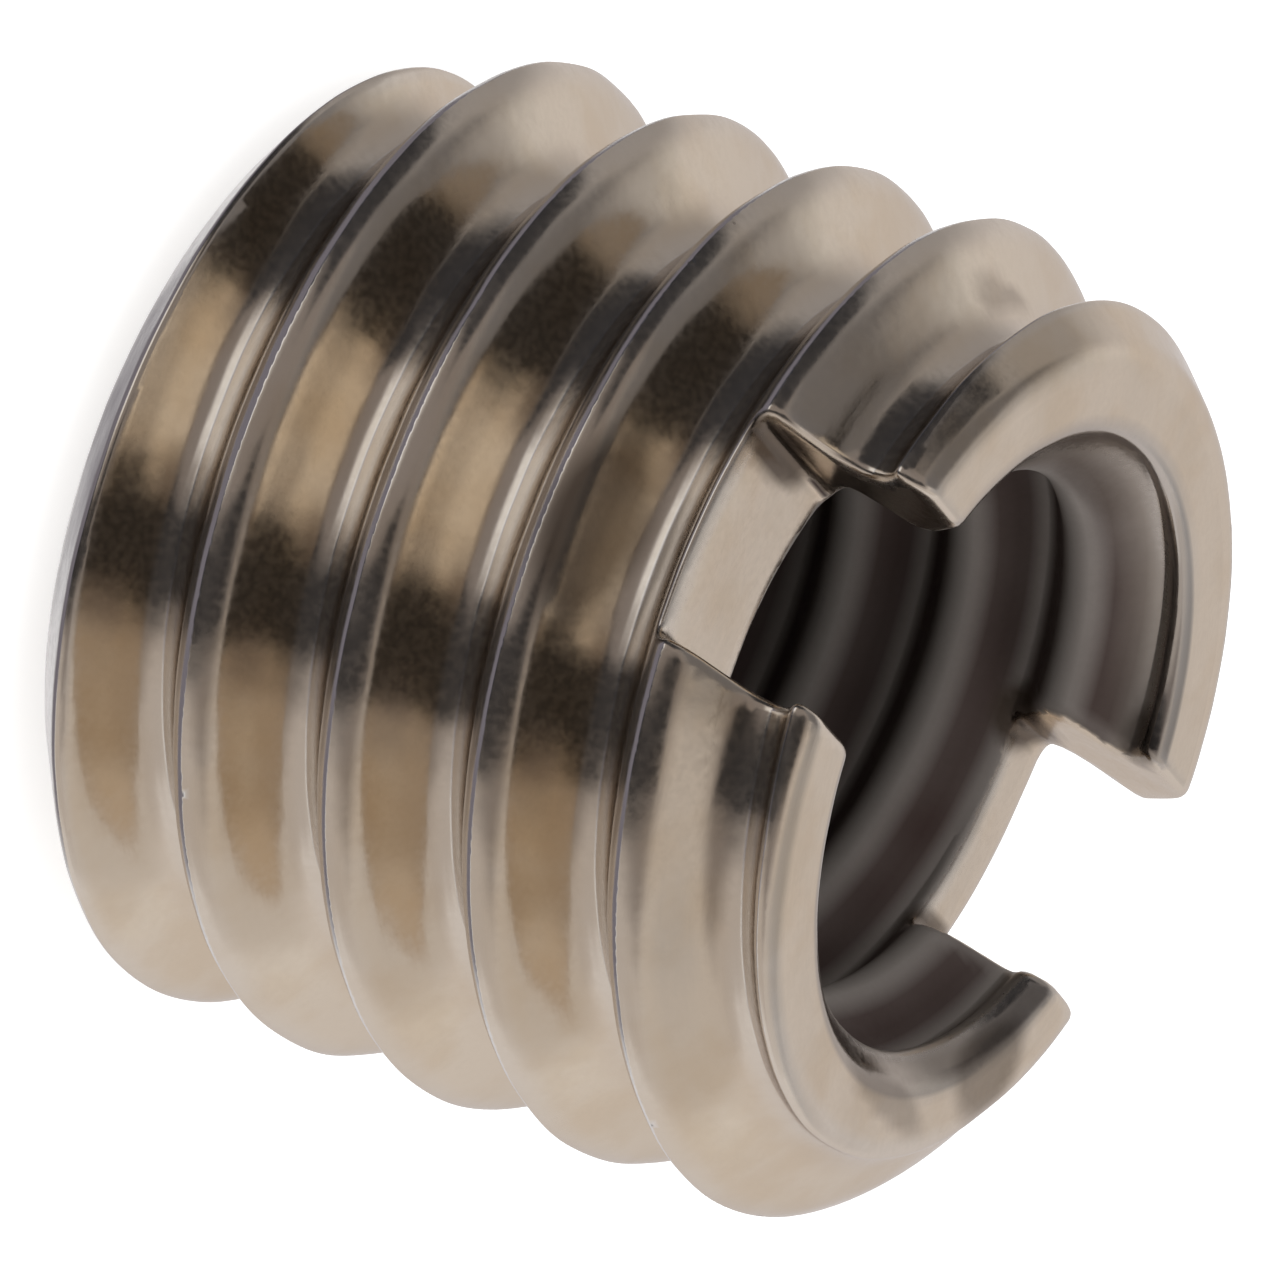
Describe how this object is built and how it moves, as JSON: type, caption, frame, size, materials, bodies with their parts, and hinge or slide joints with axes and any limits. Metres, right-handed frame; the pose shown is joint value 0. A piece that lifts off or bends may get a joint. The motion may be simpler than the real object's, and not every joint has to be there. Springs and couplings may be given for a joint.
{
  "type": "tripod thread adapter",
  "caption": "Slotted reducing bushing, threaded inside and out, that lets a small camera screw fit a large tripod socket.",
  "frame": {"origin": "centre of the plain end face, on the bushing's axis", "axes": "+Z along the axis, from the plain end to the slotted end; +X along the screwdriver slot"},
  "size_m": [0.0094, 0.0094, 0.0081],
  "materials": {
    "nickel_plate": "bright nickel plate, a little hazy, with fine turning marks"
  },
  "bodies": {
    "root": {"threaded_bushing": "nickel_plate"}
  },
  "joints": []
}
